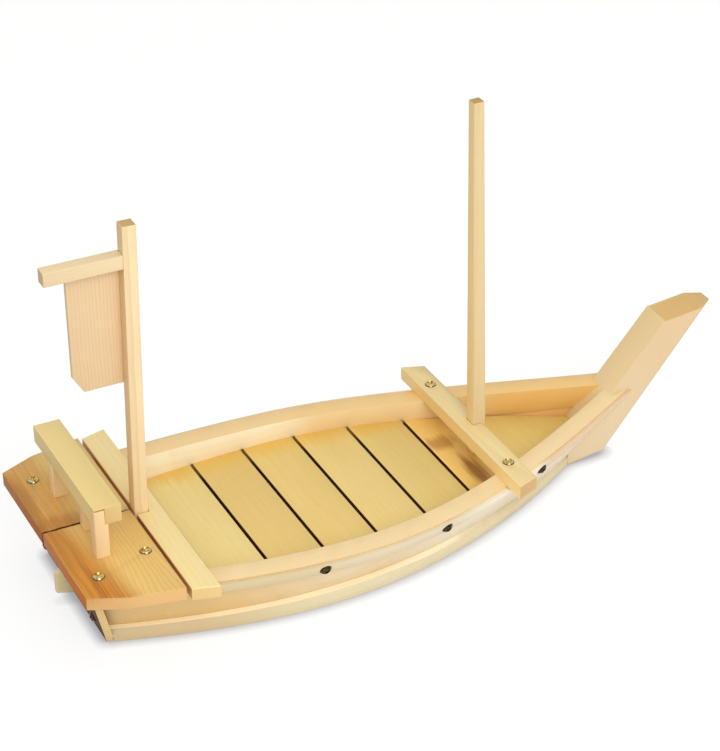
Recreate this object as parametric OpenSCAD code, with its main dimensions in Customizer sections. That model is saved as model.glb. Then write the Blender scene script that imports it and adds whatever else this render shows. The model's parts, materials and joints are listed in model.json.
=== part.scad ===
// Wooden sushi boat: a flat-bottomed serving platter in the form of a boat.
// Millimetres. +X runs to the bow, +Y to port, +Z up. The bottom board rests on Z = 0.

/* [Hull] */
// Length over all, from the deck's aft edge to the stem tip
overall_l = 600; // [580:1:630]
// Thickness of the bottom board
bottom_t = 12; // [9:0.5:15]
// Half-breadth of the bottom board at the transom
bottom_stern = 67.5; // [65.5:0.5:70]
// Largest half-breadth of the bottom board
bottom_wide = 100; // [94:0.5:105]
// Distance from the deck's aft edge to the bottom board's widest place
bottom_wide_at = 200; // [185:1:215]
// Thickness of the bottom board's bevelled edge at the bow
bottom_edge = 6.5; // [5:0.5:8.5]
// Ledge of the bottom board outside the side planks
ledge = 6.5; // [4:0.5:9]
// Height of the flat top of the sides under the stern deck
stern_h = 56.5; // [54:0.5:60]
// Half-breadth of the sides at the transom, at that height
top_stern = 81; // [77:0.5:84]
// Largest half-breadth of the sides, at that height
top_wide = 112; // [107:0.5:117]
// Distance from the deck's aft edge to the widest place of the sides
top_wide_at = 229; // [215:1:240]
// Lowest height of the rails
sheer_low = 47.5; // [46:0.5:49]
// Distance from the deck's aft edge to the lowest place of the rails
sheer_low_at = 275; // [260:1:290]
// Radius of the rails' long curve, seen from the side
sheer_r = 2260; // [2100:10:2500]

/* [Planks and rails] */
// Thickness of the lower side planks, across the boat
plank_t = 5.5; // [4:0.5:6.5]
// Width of the rails
rail_w = 18.5; // [17:0.5:20]
// Depth of the rails' outer face above the lower planks
rail_lip = 9; // [7:0.5:10]
// Least width of the rails' lower edge
rail_edge = 1.5; // [1:0.25:2]
// Thickness of the upper side planks, across the boat
lap_t = 4.5; // [3:0.5:6]
// Depth of the upper side planks
lap_h = 10; // [10:0.5:13]
// Step from the rail's top down to the upper plank
lap_step = 1.5; // [1:0.25:2.5]
// Glue line between the planks and the pieces inside them
glue_gap = 0.1; // [0.08:0.01:0.2]

/* [Stem] */
// Height of the stem tip
stem_top = 122.5; // [105:0.5:140]
// Rake of the stem from upright
stem_rake = 40.7; // [38:0.1:43]
// Thickness of the stem
stem_t = 29.5; // [26:0.5:30]
// Width of the stem board, square to its front edge
stem_w = 34; // [32:0.5:38]
// Rise of the stem's cut top
stem_cut = 6; // [2:0.5:10]
// Height of the knuckle under the stem
stem_knuckle = 5.4; // [3:0.2:7]
// Length of the stem's foot, from the bottom board to the knuckle
stem_foot = 38.5; // [36:0.5:42]
// Distance from the stem's front edge to the planks' forward end, at the planks' foot
plank_in_foot = 39; // [36:0.5:42]
// Distance from the stem's front edge to the planks' forward end, at the rails
plank_in_top = 27; // [24:0.5:30]
// Chamfer of the stem's front corners at the tip, measured along its width
stem_chamfer = 9; // [6:0.5:12]
// Chamfer of the stem's front corners at the foot
stem_chamfer_foot = 3; // [1:0.5:5]
// Half-width left at the stem's front edge
stem_nose = 6.5; // [4:0.5:9]

/* [Transom and rudder board] */
// Distance from the deck's aft edge to the transom's forward face at its foot
transom_set = 29; // [27:0.5:32]
// Rake of the transom, run for each unit of height
transom_rake = 0.29; // [0.24:0.01:0.31]
// Thickness of the transom, along the boat
transom_t = 6; // [5:0.5:7]
// Half-breadth of the transom's foot
transom_foot = 65; // [63:0.5:66]
// Half-breadth of the transom's top
transom_top = 88; // [86.5:0.5:91]
// Thickness of the rudder board
rudder_t = 4; // [3:0.5:6]
// Distance from the deck's aft edge to the rudder board's aft edge
rudder_set = 6.5; // [5:0.5:9]
// Height of the rudder board's lower corner
rudder_low = 5.5; // [4:0.5:8]
// Height of the rudder board's top
rudder_high = 30.5; // [28:0.5:34]
// Cut corners of the rudder board
rudder_cut = 4; // [2:0.5:5]

/* [Floor] */
// Height of the stringers that carry the floor
stringer_h = 13; // [11:0.5:14]
// Width of the stringers
stringer_w = 11; // [9:0.5:12]
// Gap between the stringers and the bow block
stringer_end = 8; // [5:0.5:12]
// Length of the block in the bow that carries the bow floor
bow_block_l = 30; // [26:1:34]
// Thickness of the floor slats
slat_t = 6; // [5:0.5:7]
// Part of the first slat that lies under the stern beam
slat_tuck = 8; // [6:0.5:10]
// Gap between the thwart and the bow floor, seen from above
bow_floor_set = 12; // [10:0.5:14]
// Gap between neighbouring slats
slat_gap = 2.6; // [1.5:0.1:4]
// Play between the slat ends and the planks
slat_play = 0.5; // [0.3:0.1:1]

/* [Stern deck and beam] */
// Length of the deck boards along the boat
deck_l = 71.5; // [70:0.5:72]
// Thickness of the deck boards
deck_t = 11; // [9:0.5:13]
// Half-breadth of the deck's aft edge
deck_aft = 93; // [90:0.5:96]
// Half-breadth of the deck where its side bends
deck_bend = 106; // [102:0.5:109]
// Half-breadth of the deck's forward edge
deck_fwd = 114; // [112:0.5:117]
// Distance from the deck's aft edge to the bend
deck_bend_at = 29; // [25:0.5:35]
// Seam between the two deck boards
deck_seam = 1; // [0.5:0.1:2]
// Width of the cleat under the deck
cleat_w = 14; // [12:0.5:15]
// Height of the cleat
cleat_h = 12; // [10:0.5:14]
// Setback of the cleat from the deck's forward edge
cleat_set = 2.5; // [2:0.5:4]
// Gap between the deck and the stern beam
beam_gap = 3.6; // [3:0.1:4.5]
// Width of the stern beam along the boat
beam_w = 21.6; // [20:0.2:23]
// Thickness of the stern beam
beam_t = 11; // [9:0.5:13]
// Half-length of the stern beam at its aft edge
beam_aft = 115; // [112:0.5:118]
// Half-length of the stern beam at its forward edge
beam_fwd = 121; // [118:0.5:124]

/* [Thwart] */
// Distance from the deck's aft edge to the thwart's aft edge
thwart_at = 362.3; // [355:0.1:366]
// Width of the thwart along the boat
thwart_w = 19; // [18:0.2:21]
// Thickness of the thwart
thwart_t = 11.5; // [9:0.5:13]
// Half-length of the thwart at its aft edge
thwart_aft = 103; // [100:0.5:106]
// Half-length of the thwart at its forward edge
thwart_fwd = 96; // [93:0.5:99]

/* [Mast] */
// Width of the square mast at its foot
mast_w = 11.4; // [10:0.1:12]
// Width of the mast at its top
mast_top_w = 9; // [6:0.1:9.5]
// Length of the mast
mast_l = 320.5; // [260:0.5:360]
// Length of the mast's straight foot
mast_foot = 45; // [40:1:70]
// Rake of the mast towards the stern
mast_rake = 1.2; // [0:0.1:2]
// Part of the mast that stands out of the thwart's notch
mast_proud = 3.6; // [2:0.1:4.5]
// Height of the mast's guide block under the thwart
guide_h = 8; // [6:0.5:9]
// Wall of the guide block before and behind the mast
guide_wall = 3.6; // [3:0.2:4]
// Wall of the guide block beside the mast
guide_side = 5; // [4:0.5:8]
// Length and width of the flag's step
step_w = 24; // [22:0.5:26]
// Height of the flag's step
step_h = 12; // [9:0.5:12.5]
// Play around the mast and the flag post in their sockets
socket_gap = 0.4; // [0.3:0.05:0.6]

/* [Flag] */
// Width of the square flag post
post_w = 11.2; // [10:0.1:12]
// Length of the flag post
post_l = 284.5; // [260:0.5:310]
// Lean of the flag post towards the bow
post_rake = 1.1; // [0:0.1:1.5]
// Part of the post that stands out of the beam's notch
post_proud = 1.7; // [1:0.1:2]
// Height of the crossbar's top above the floor
bar_top = 261.5; // [240:0.5:270]
// Height of the crossbar
bar_h = 11.5; // [9:0.5:14]
// Distance from the deck's aft edge to the crossbar's aft end
bar_at = 16; // [8:0.5:24]
// Thickness of the flag board
flag_t = 4; // [3:0.25:6]
// Distance from the deck's aft edge to the flag board's aft edge
flag_at = 36; // [28:0.5:44]
// Height of the flag board
flag_h = 111; // [90:0.5:130]
// Step from the crossbar's top down to the flag board
flag_step = 2.5; // [1:0.25:4]
// Length of the flag board's cut corner
flag_cut_l = 8.5; // [4:0.5:12]
// Height of the flag board's cut corner
flag_cut_h = 14; // [8:0.5:20]

/* [Bench] */
// Distance from the deck's aft edge to the bench
bench_at = 25; // [22:0.5:28]
// Width of the bench beam along the boat
bench_w = 22; // [20:0.5:25]
// Thickness of the bench beam
bench_t = 15; // [13:0.5:17]
// Height of the bench beam's underside above the deck
bench_h = 29.5; // [22:0.5:38]
// Overhang of the bench beam on the port side
bench_over = 29.5; // [20:0.5:36]
// Half-distance over the two outer legs
bench_half = 51.5; // [48:0.5:56]
// Width of the square legs
leg_w = 11; // [9.5:0.25:12]
// Width of the square tenons on the legs
tenon_w = 6; // [5:0.2:7]
// Length of the middle and port tenons
tenon_h = 7; // [5:0.5:9]
// Width of the starboard tenon, which shows in the beam's end
corner_tenon = 8.5; // [7:0.25:9]
// Wood left above the starboard mortise
tenon_cover = 1; // [1:0.25:3]
// Room above the starboard tenon in its mortise
tenon_room = 1; // [0.5:0.25:2]
// Setback of the middle leg
mid_leg_set = 5; // [3:0.5:8]
// Distance from the centreline to the middle leg
mid_leg_off = 2; // [1:0.25:4]
// Play around the tenons in their mortises
tenon_gap = 0.2; // [0.1:0.05:0.3]

/* [Screws] */
// Diameter of the screw heads
head_d = 9.8; // [8.5:0.1:11]
// Height of the screw heads
head_h = 2.8; // [2:0.1:3.4]
// Diameter of the screw shanks
shank_d = 3.2; // [2.8:0.1:3.6]
// Radial play of the shanks in their holes
shank_gap = 0.1; // [0.05:0.01:0.15]
// Grip of the deck and thwart screws below the board
screw_grip = 9; // [7:0.5:10]
// Length of the side screws
side_screw_l = 8; // [7:0.5:9]
// Length of the transom screws
transom_screw_l = 15; // [12:0.5:17]
// Distance of the aft deck screws from the deck's aft edge
deck_screw_at = 18; // [16:0.5:20]
// Distance of the aft deck screws from the centreline
deck_screw_aft = 72; // [71:0.5:74]
// Distance of the forward deck screws from the centreline
deck_screw_fwd = 57; // [40:0.5:62]
// Distance of the thwart screws from the centreline
thwart_screw = 67; // [66:0.5:69]
// Distances of the side screws from the deck's aft edge
side_screws = [187.5, 298, 403.3];

/* [Hidden] */
$fn = 48;
stations = 44;
slats = 7;

// Levels and stations along the boat
stern_x = -overall_l / 2;
tip_x = overall_l / 2;
slat_z = bottom_t + stringer_h;
floor_z = slat_z + slat_t;
deck_z = stern_h + deck_t;
deck_fwd_x = stern_x + deck_l;
cleat_x = deck_fwd_x - cleat_w - cleat_set;
beam_x = deck_fwd_x + beam_gap;
thwart_x = stern_x + thwart_at;
thwart_fwd_x = thwart_x + thwart_w;
slat_aft_x = beam_x - slat_tuck;
bow_floor_x = thwart_fwd_x + bow_floor_set;
slat_pitch = (bow_floor_x - slat_aft_x) / slats;
function transom_x(z) = stern_x + transom_set - transom_rake * z;
function stem_front_x(z) = tip_x - (stem_top - z) * tan(stem_rake);
function stem_aft_x(z) = stem_front_x(z) - stem_w / cos(stem_rake);
knuckle_x = stem_front_x(stem_knuckle);
foot_x = knuckle_x - stem_foot;

// Height of the rails
function sheer(x) = sheer_low + sheer_r - sqrt(pow(sheer_r, 2) - pow(x - stern_x - sheer_low_at, 2));
function rail_z(x) = x < 0 ? min(sheer(x), stern_h) : sheer(x);
beam_z = rail_z(beam_x + beam_w);
thwart_z = min(rail_z(thwart_x), rail_z(thwart_fwd_x));

// A plan curve from the stern over the widest place to the bow
function ease(t) = t * t * (3 - 2 * t);
function plan(x, c) = x < c[3]
    ? let(h = c[3] - c[0], t = (x - c[0]) / h)
      c[1] + (c[4] - c[1]) * ease(t) + t * pow(1 - t, 2) * h * c[2]
    : let(h = c[5] - c[3], t = (x - c[3]) / h)
      c[4] + (c[6] - c[4]) * ease(t) + t * t * (t - 1) * h * c[7];
bow_half = stem_t / 2 - 2;
foot_bow_x = stem_front_x(bottom_t) - plank_in_foot;
top_bow_x = stem_front_x(stern_h) - plank_in_top;
bottom_wide_x = stern_x + bottom_wide_at;
top_wide_x = stern_x + top_wide_at;
board_line = [transom_x(0), bottom_stern, 0.33, bottom_wide_x, bottom_wide, foot_x, stem_t / 2, -0.63];
foot_line = [transom_x(bottom_t), bottom_stern - ledge, 0.33, bottom_wide_x, bottom_wide - ledge,
             foot_bow_x, bow_half, -0.6];
top_line = [transom_x(stern_h), top_stern, 0.3, top_wide_x, top_wide, top_bow_x, bow_half, -0.535];

// The leaning side surface: s runs from the transom to the stem, z is the height
function mix(a, b, k) = a + (b - a) * k;
function up(z) = (z - bottom_t) / (stern_h - bottom_t);
function foot_at(s) = mix(foot_line[0], foot_line[5], s);
function top_at(s) = mix(top_line[0], top_line[5], s);
function side_x(s, z) = mix(foot_at(s), top_at(s), up(z));
function side_y(s, z) = mix(plan(foot_at(s), foot_line), plan(top_at(s), top_line), up(z));
function s_of(x, z) = (x - mix(foot_line[0], top_line[0], up(z)))
    / (mix(foot_line[5], top_line[5], up(z)) - mix(foot_line[0], top_line[0], up(z)));
function half_at(x, z) = side_y(s_of(x, z), z);
function rail_top(s) = let(a = rail_z(side_x(s, stern_h)), b = rail_z(side_x(s, a))) rail_z(side_x(s, b));
function side_point(s, z, in) = [side_x(s, z), side_y(s, z) - in, z];

// Sections of the long pieces at station s, port side
function lower_plank_section(s) = let(zk = rail_top(s) - rail_lip)
    [side_point(s, bottom_t, plank_t), side_point(s, bottom_t, 0),
     side_point(s, zk, 0), side_point(s, zk, plank_t)];
function upper_plank_section(s) = let(zu = rail_top(s) - lap_step, zl = zu - lap_h)
    [side_point(s, zl, 0), side_point(s, zl, -lap_t), side_point(s, zu, -lap_t), side_point(s, zu, 0)];
function stringer_section(s) = let(y = side_y(s, bottom_t) - plank_t - stringer_w)
    [[side_x(s, bottom_t), y, bottom_t], side_point(s, bottom_t, plank_t + glue_gap),
     side_point(s, slat_z, plank_t + glue_gap), [side_x(s, slat_z), y, slat_z]];

// The rail's inner face stands upright, down to the floor or to where the plank comes near it
function rail_in(x) = half_at(x, rail_z(x)) - rail_w;
function rail_room(s, z) = side_y(s, z) - plank_t - rail_edge - rail_in(side_x(s, z));
function rail_foot(s, zk) = let(a = rail_room(s, floor_z), b = rail_room(s, zk))
    a >= 0 ? floor_z : mix(floor_z, zk, -a / (b - a));
function rail_section(s) =
    let(zt = rail_top(s), zk = zt - rail_lip, zl = rail_foot(s, zk), x = side_x(s, zl))
    [side_point(s, zk, plank_t + glue_gap), side_point(s, zk, 0), side_point(s, zt, 0),
     [side_x(s, zt), side_y(s, zt) - rail_w, zt], [x, rail_in(x), zl], side_point(s, zl, plank_t + glue_gap)];

// Sections of the bottom board, its edge bevelled towards the bow
function bow_share(x) = max(0, min(1, (x - top_wide_x) / (thwart_fwd_x - top_wide_x)));
function edge_z(x) = mix(bottom_t, bottom_edge, ease(bow_share(x)));
function board_section(x) = let(h = plan(x, board_line), z = edge_z(x))
    [[x, -h, 0], [x, h, 0], [x, h, z], [x, h - ledge, bottom_t], [x, ledge - h, bottom_t], [x, -h, z]];

// A solid through a row of like sections
module loft(rows) {
    n = len(rows[0]);
    m = len(rows);
    polyhedron(
        points = [for (r = rows) each r],
        faces = concat(
            [for (j = [1:n - 2]) [0, j, j + 1]],
            [for (j = [1:n - 2]) [(m - 1) * n, (m - 1) * n + j + 1, (m - 1) * n + j]],
            [for (i = [0:m - 2], j = [0:n - 1]) [i * n + j, (i + 1) * n + j, (i + 1) * n + (j + 1) % n]],
            [for (i = [0:m - 2], j = [0:n - 1]) [i * n + j, (i + 1) * n + (j + 1) % n, i * n + (j + 1) % n]]),
        convexity = 8);
}

// A flat board between two stations, its sides following the planks at height z
module follow_board(x0, x1, z, h, play, parts) {
    xs = [for (i = [0:parts]) mix(x0, x1, i / parts)];
    translate([0, 0, z])
        linear_extrude(h)
            polygon(concat([for (x = xs) [x, half_at(x, z) - plank_t - play]],
                           [for (i = [parts:-1:0]) [xs[i], play + plank_t - half_at(xs[i], z)]]));
}

// A profile in X and Z, drawn out across the boat
module across(width, points) {
    translate([0, width / 2, 0])
        rotate([90, 0, 0])
            linear_extrude(width)
                polygon(points);
}

// A screw, its head on Z = 0 and its shank going down
module screw(l) {
    r = (pow(head_d / 2, 2) + pow(head_h, 2)) / (2 * head_h);
    rotate_extrude()
        intersection() {
            translate([0, head_h - r])
                circle(r);
            square([head_d / 2, head_h]);
        }
    translate([0, 0, -l])
        cylinder(d = shank_d, h = l + 0.1);
}

module bore(l) {
    translate([0, 0, -l - shank_d / 3])
        cylinder(d = shank_d + 2 * shank_gap, h = l + shank_d + head_h);
}

// Where the screws sit
module at_deck_screws() {
    for (side = [-1, 1]) {
        translate([stern_x + deck_screw_at, side * deck_screw_aft, deck_z])
            children();
        translate([cleat_x + cleat_w / 2, side * deck_screw_fwd, deck_z])
            children();
    }
}

module at_thwart_screws() {
    for (side = [-1, 1])
        translate([thwart_x + thwart_w / 2, side * thwart_screw, thwart_z + thwart_t])
            children();
}

module at_side_screws() {
    for (d = side_screws) {
        x = stern_x + d;
        z = rail_z(x) - lap_step - lap_h / 2;
        run = (half_at(x + 1, z) - half_at(x - 1, z)) / 2;
        lean = (half_at(x, z + 1) - half_at(x, z - 1)) / 2;
        size = norm([run, 1, lean]);
        translate([x, half_at(x, z) + lap_t, z])
            rotate([0, acos(-lean / size), atan2(1, -run)])
                translate([0, 0, 0.05])
                    children();
    }
}

module at_transom_screws() {
    z = bottom_t + 5;
    y = half_at(transom_x(z), z) - plank_t - stringer_w / 2;
    for (side = [-1, 1])
        translate([transom_x(z) - transom_t, side * y, z])
            rotate([0, -90 - atan(transom_rake), 0])
                children();
}

// The stem's outline as a plain slab
module stem_slab() {
    cut = tan(stem_cut);
    // where the aft edge meets the cut top
    top_z = (stem_top - cut * (stem_top * tan(stem_rake) + stem_w / cos(stem_rake)))
        / (1 - cut * tan(stem_rake));
    low_z = stem_top - (tip_x - foot_x - stem_w / cos(stem_rake)) / tan(stem_rake);
    across(stem_t, [[foot_x, 0], [knuckle_x, stem_knuckle], [tip_x, stem_top],
                    [stem_aft_x(top_z), top_z], [foot_x, max(low_z, 0.5)]]);
}

// What the chamfer takes off the stem's port front corner, more at the tip than at the foot
module stem_corner() {
    wide = stem_t / 2 - stem_nose;
    turn = atan2(stem_chamfer, wide);
    depth_tip = stem_chamfer * cos(turn);
    depth_foot = stem_chamfer_foot * cos(turn);
    lean = atan((depth_tip - depth_foot) * cos(stem_rake) / (stem_top - stem_knuckle));
    translate([tip_x, 0, stem_top])
        rotate([0, stem_rake, 0])
            translate([0, stem_t / 2, 0])
                rotate([0, 0, turn])
                    translate([-depth_tip, 0, 0])
                        rotate([0, -lean, 0])
                            translate([0, -stem_w, -2 * stem_top])
                                cube([stem_w, 2 * stem_w, 3 * stem_top]);
}

// Sockets and notches take these shapes, raked like the mast and the post
module at_mast() {
    translate([thwart_fwd_x + mast_proud - mast_w / 2 + (thwart_z - floor_z) * tan(mast_rake), 0, floor_z])
        rotate([0, -mast_rake, 0])
            children();
}

module at_post() {
    translate([beam_x - post_proud + post_w / 2 - (beam_z - floor_z) * tan(post_rake), 0, floor_z])
        rotate([0, post_rake, 0])
            children();
}

module square_bar(w, h, z0) {
    translate([-w / 2, -w / 2, z0])
        cube([w, w, h]);
}

module beam_block() {
    x1 = beam_x + beam_w;
    translate([0, 0, beam_z])
        linear_extrude(beam_t)
            polygon([[beam_x, -beam_aft], [x1, -beam_fwd], [x1, beam_fwd], [beam_x, beam_aft]]);
}

module thwart_block() {
    translate([0, 0, thwart_z])
        linear_extrude(thwart_t)
            polygon([[thwart_x, -thwart_aft], [thwart_fwd_x, -thwart_fwd],
                     [thwart_fwd_x, thwart_fwd], [thwart_x, thwart_aft]]);
}

module port_to(side) {
    mirror([0, side < 0 ? 1 : 0, 0])
        children();
}

// Hull
module bottom_board() {
    x0 = transom_x(bottom_t);
    color([0.82, 0.62, 0.40])
        intersection() {
            loft([for (i = [0:stations]) board_section(mix(x0, foot_x, i / stations))]);
            across(3 * bottom_wide,
                   [[transom_x(0), 0], [foot_x + 1, 0], [foot_x + 1, bottom_t], [x0, bottom_t]]);
        }
}

module transom() {
    color([0.80, 0.60, 0.38])
        difference() {
            intersection() {
                across(3 * transom_top,
                       [[transom_x(0) - transom_t, 0], [transom_x(0), 0], [transom_x(stern_h), stern_h],
                        [transom_x(stern_h) - transom_t, stern_h]]);
                translate([stern_x - transom_t, 0, 0])
                    rotate([90, 0, 90])
                        linear_extrude(2 * transom_set)
                            polygon([[-transom_foot, 0], [transom_foot, 0], [transom_top, stern_h],
                                     [-transom_top, stern_h]]);
            }
            at_transom_screws()
                bore(transom_screw_l);
        }
}

module rudder_board() {
    aft = stern_x + rudder_set;
    x_low = transom_x(rudder_low) - transom_t;
    x_high = transom_x(rudder_high) - transom_t;
    color([0.78, 0.58, 0.38])
        across(rudder_t, [[x_low, rudder_low], [x_high, rudder_high], [aft + rudder_cut, rudder_high],
                          [aft, rudder_high - rudder_cut], [aft, rudder_low + rudder_cut]]);
}

module stem_post() {
    color([0.88, 0.70, 0.48])
        difference() {
            stem_slab();
            for (side = [-1, 1])
                port_to(side)
                    stem_corner();
        }
}

module bow_block() {
    color([0.80, 0.60, 0.40])
        difference() {
            follow_board(foot_x - bow_block_l, foot_x + bow_block_l / 6, bottom_t, stringer_h,
                         3 * glue_gap, 6);
            stem_slab();
        }
}

module lower_plank(side) {
    color([0.84, 0.66, 0.46])
        port_to(side)
            difference() {
                loft([for (i = [0:stations]) lower_plank_section(i / stations)]);
                stem_slab();
                at_deck_screws()
                    bore(deck_t + screw_grip);
                at_thwart_screws()
                    bore(thwart_t + screw_grip);
            }
}

module lower_plank_starboard() {
    lower_plank(-1);
}

module lower_plank_port() {
    lower_plank(1);
}

module upper_plank(side) {
    color([0.88, 0.74, 0.56])
        port_to(side)
            difference() {
                loft([for (i = [0:stations]) upper_plank_section(i / stations)]);
                stem_slab();
                beam_block();
                at_side_screws()
                    bore(side_screw_l);
            }
}

module upper_plank_starboard() {
    upper_plank(-1);
}

module upper_plank_port() {
    upper_plank(1);
}

module rail(side) {
    color([0.90, 0.72, 0.50])
        port_to(side)
            difference() {
                loft([for (i = [0:stations]) rail_section(i / stations)]);
                stem_slab();
                beam_block();
                thwart_block();
                at_side_screws()
                    bore(side_screw_l);
                at_deck_screws()
                    bore(deck_t + screw_grip);
                at_thwart_screws()
                    bore(thwart_t + screw_grip);
            }
}

module rail_starboard() {
    rail(-1);
}

module rail_port() {
    rail(1);
}

// Floor
module floor_stringer(side) {
    last = s_of(foot_x - bow_block_l - stringer_end, slat_z);
    color([0.80, 0.62, 0.40])
        port_to(side)
            difference() {
                loft([for (i = [0:stations]) stringer_section(last * i / stations)]);
                at_transom_screws()
                    bore(transom_screw_l);
            }
}

module floor_stringer_starboard() {
    floor_stringer(-1);
}

module floor_stringer_port() {
    floor_stringer(1);
}

module floor_slat(i) {
    x0 = slat_aft_x + (i - 1) * slat_pitch;
    color([0.80, 0.64, 0.38])
        follow_board(x0, x0 + slat_pitch - slat_gap, slat_z, slat_t, slat_play, 5);
}

module bow_floor() {
    color([0.82, 0.62, 0.34])
        difference() {
            follow_board(bow_floor_x, stem_aft_x(floor_z) + 3, slat_z, slat_t, slat_play, 10);
            stem_slab();
        }
}

// Stern deck and cross pieces
module deck_board(side) {
    color([0.84, 0.58, 0.32])
        difference() {
            port_to(side)
                translate([0, 0, stern_h])
                    linear_extrude(deck_t)
                        polygon([[stern_x, deck_seam / 2], [deck_fwd_x, deck_seam / 2],
                                 [deck_fwd_x, deck_fwd], [stern_x + deck_bend_at, deck_bend],
                                 [stern_x, deck_aft]]);
            at_deck_screws()
                bore(deck_t + screw_grip);
        }
}

module stern_deck_starboard() {
    deck_board(-1);
}

module stern_deck_port() {
    deck_board(1);
}

module deck_cleat() {
    half = half_at(cleat_x, stern_h) - rail_w - 0.4;
    color([0.80, 0.62, 0.40])
        difference() {
            translate([cleat_x, -half, stern_h - cleat_h])
                cube([cleat_w, 2 * half, cleat_h]);
            at_deck_screws()
                bore(deck_t + screw_grip);
        }
}

module stern_beam() {
    color([0.90, 0.70, 0.44])
        difference() {
            beam_block();
            at_post()
                translate([-2 * beam_w, -post_w / 2 - socket_gap, 0])
                    cube([2 * beam_w + post_w / 2 + socket_gap, post_w + 2 * socket_gap, 2 * stern_h]);
        }
}

module mast_thwart() {
    color([0.90, 0.72, 0.48])
        difference() {
            thwart_block();
            at_mast()
                translate([-mast_w / 2 - socket_gap, -mast_w / 2 - socket_gap, 0])
                    cube([2 * thwart_w, mast_w + 2 * socket_gap, 2 * stern_h]);
            at_thwart_screws()
                bore(thwart_t + screw_grip);
        }
}

// The guide block is glued under the thwart and holds the mast's foot upright
module mast_step() {
    wide = mast_w + 2 * socket_gap;
    x0 = thwart_fwd_x + mast_proud - mast_w / 2 - wide / 2 - guide_wall;
    color([0.80, 0.62, 0.40])
        difference() {
            translate([x0, -wide / 2 - guide_side, thwart_z - guide_h])
                cube([wide + 2 * guide_wall, wide + 2 * guide_side, guide_h]);
            at_mast()
                square_bar(wide, 2 * stern_h, -slat_t);
        }
}

module flag_step_block() {
    color([0.80, 0.62, 0.40])
        difference() {
            translate([beam_x - post_proud + post_w / 2 - step_w / 2, -step_w / 2, floor_z])
                cube([step_w, step_w, step_h]);
            at_post()
                square_bar(post_w + 2 * socket_gap, 3 * step_h, -slat_t);
        }
}

// Mast and flag
module mast() {
    side = [[-mast_w / 2, 0.3], [mast_w / 2, 0.3], [mast_w / 2, mast_foot], [mast_top_w / 2, mast_l],
            [-mast_top_w / 2, mast_l], [-mast_w / 2, mast_foot]];
    color([0.88, 0.68, 0.44])
        at_mast()
            intersection() {
                across(mast_w + 2, side);
                rotate([0, 0, 90])
                    across(mast_w + 2, side);
            }
}

module flag_post() {
    color([0.86, 0.66, 0.42])
        at_post()
            square_bar(post_w, post_l - 0.3, 0.3);
}

module flag_crossbar() {
    x0 = stern_x + bar_at;
    color([0.88, 0.70, 0.48])
        difference() {
            translate([x0, -post_w / 2, floor_z + bar_top - bar_h])
                cube([beam_x + post_w / 2 - x0, post_w, bar_h]);
            at_post()
                translate([-post_w / 2, -post_w, 0])
                    cube([4 * post_w, 2 * post_w, 2 * post_l]);
        }
}

module flag_board() {
    x0 = stern_x + flag_at;
    x1 = beam_x + post_w / 2;
    z1 = floor_z + bar_top - flag_step;
    z0 = z1 - flag_h;
    color([0.84, 0.60, 0.40])
        translate([0, post_w / 2 + flag_t / 2, 0])
            across(flag_t, [[x0 + flag_cut_l, z0], [x1, z0], [x1, z1], [x0, z1], [x0, z0 + flag_cut_h]]);
}

// Bench
bench_x = stern_x + bench_at;
tenon_set = (leg_w - tenon_w) / 2;
mid_leg_x = bench_x + mid_leg_set;
mid_leg_y = -mid_leg_off - leg_w;

// A leg with its tenon of width w and height h, set in from the aft and starboard faces
module bench_leg(x, y, set, w, h) {
    color([0.88, 0.68, 0.46])
        translate([x, y, deck_z]) {
            cube([leg_w, leg_w, bench_h]);
            translate([set, set, 0])
                cube([w, tenon_w, bench_h + h]);
        }
}

module bench_leg_starboard() {
    bench_leg(bench_x, -bench_half, 0, corner_tenon, bench_t - tenon_cover - tenon_room);
}

module bench_leg_middle() {
    bench_leg(mid_leg_x, mid_leg_y, tenon_set, tenon_w, tenon_h);
}

module bench_leg_port() {
    bench_leg(bench_x, bench_half - leg_w, tenon_set, tenon_w, tenon_h);
}

// The mortise for a tenon of width w
module mortise(x, y, w, h) {
    translate([x - tenon_gap, y - tenon_gap, deck_z])
        cube([w + 2 * tenon_gap, tenon_w + 2 * tenon_gap, bench_h + h]);
}

module bench_beam() {
    color([0.92, 0.76, 0.48])
        difference() {
            translate([bench_x, -bench_half, deck_z + bench_h])
                cube([bench_w, 2 * bench_half + bench_over, bench_t]);
            mortise(bench_x, -bench_half, corner_tenon, bench_t - tenon_cover);
            mortise(mid_leg_x + tenon_set, mid_leg_y + tenon_set, tenon_w, tenon_h + tenon_gap);
            mortise(bench_x + tenon_set, bench_half - leg_w + tenon_set, tenon_w, tenon_h + tenon_gap);
        }
}

// Screws
module deck_screws() {
    color([0.78, 0.66, 0.36])
        at_deck_screws()
            screw(deck_t + screw_grip);
}

module thwart_screws() {
    color([0.78, 0.66, 0.36])
        at_thwart_screws()
            screw(thwart_t + screw_grip);
}

module side_screws_starboard() {
    color([0.78, 0.66, 0.36])
        mirror([0, 1, 0])
            at_side_screws()
                screw(side_screw_l);
}

module side_screws_port() {
    color([0.78, 0.66, 0.36])
        at_side_screws()
            screw(side_screw_l);
}

module transom_screws() {
    color([0.78, 0.66, 0.36])
        at_transom_screws()
            screw(transom_screw_l);
}

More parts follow.
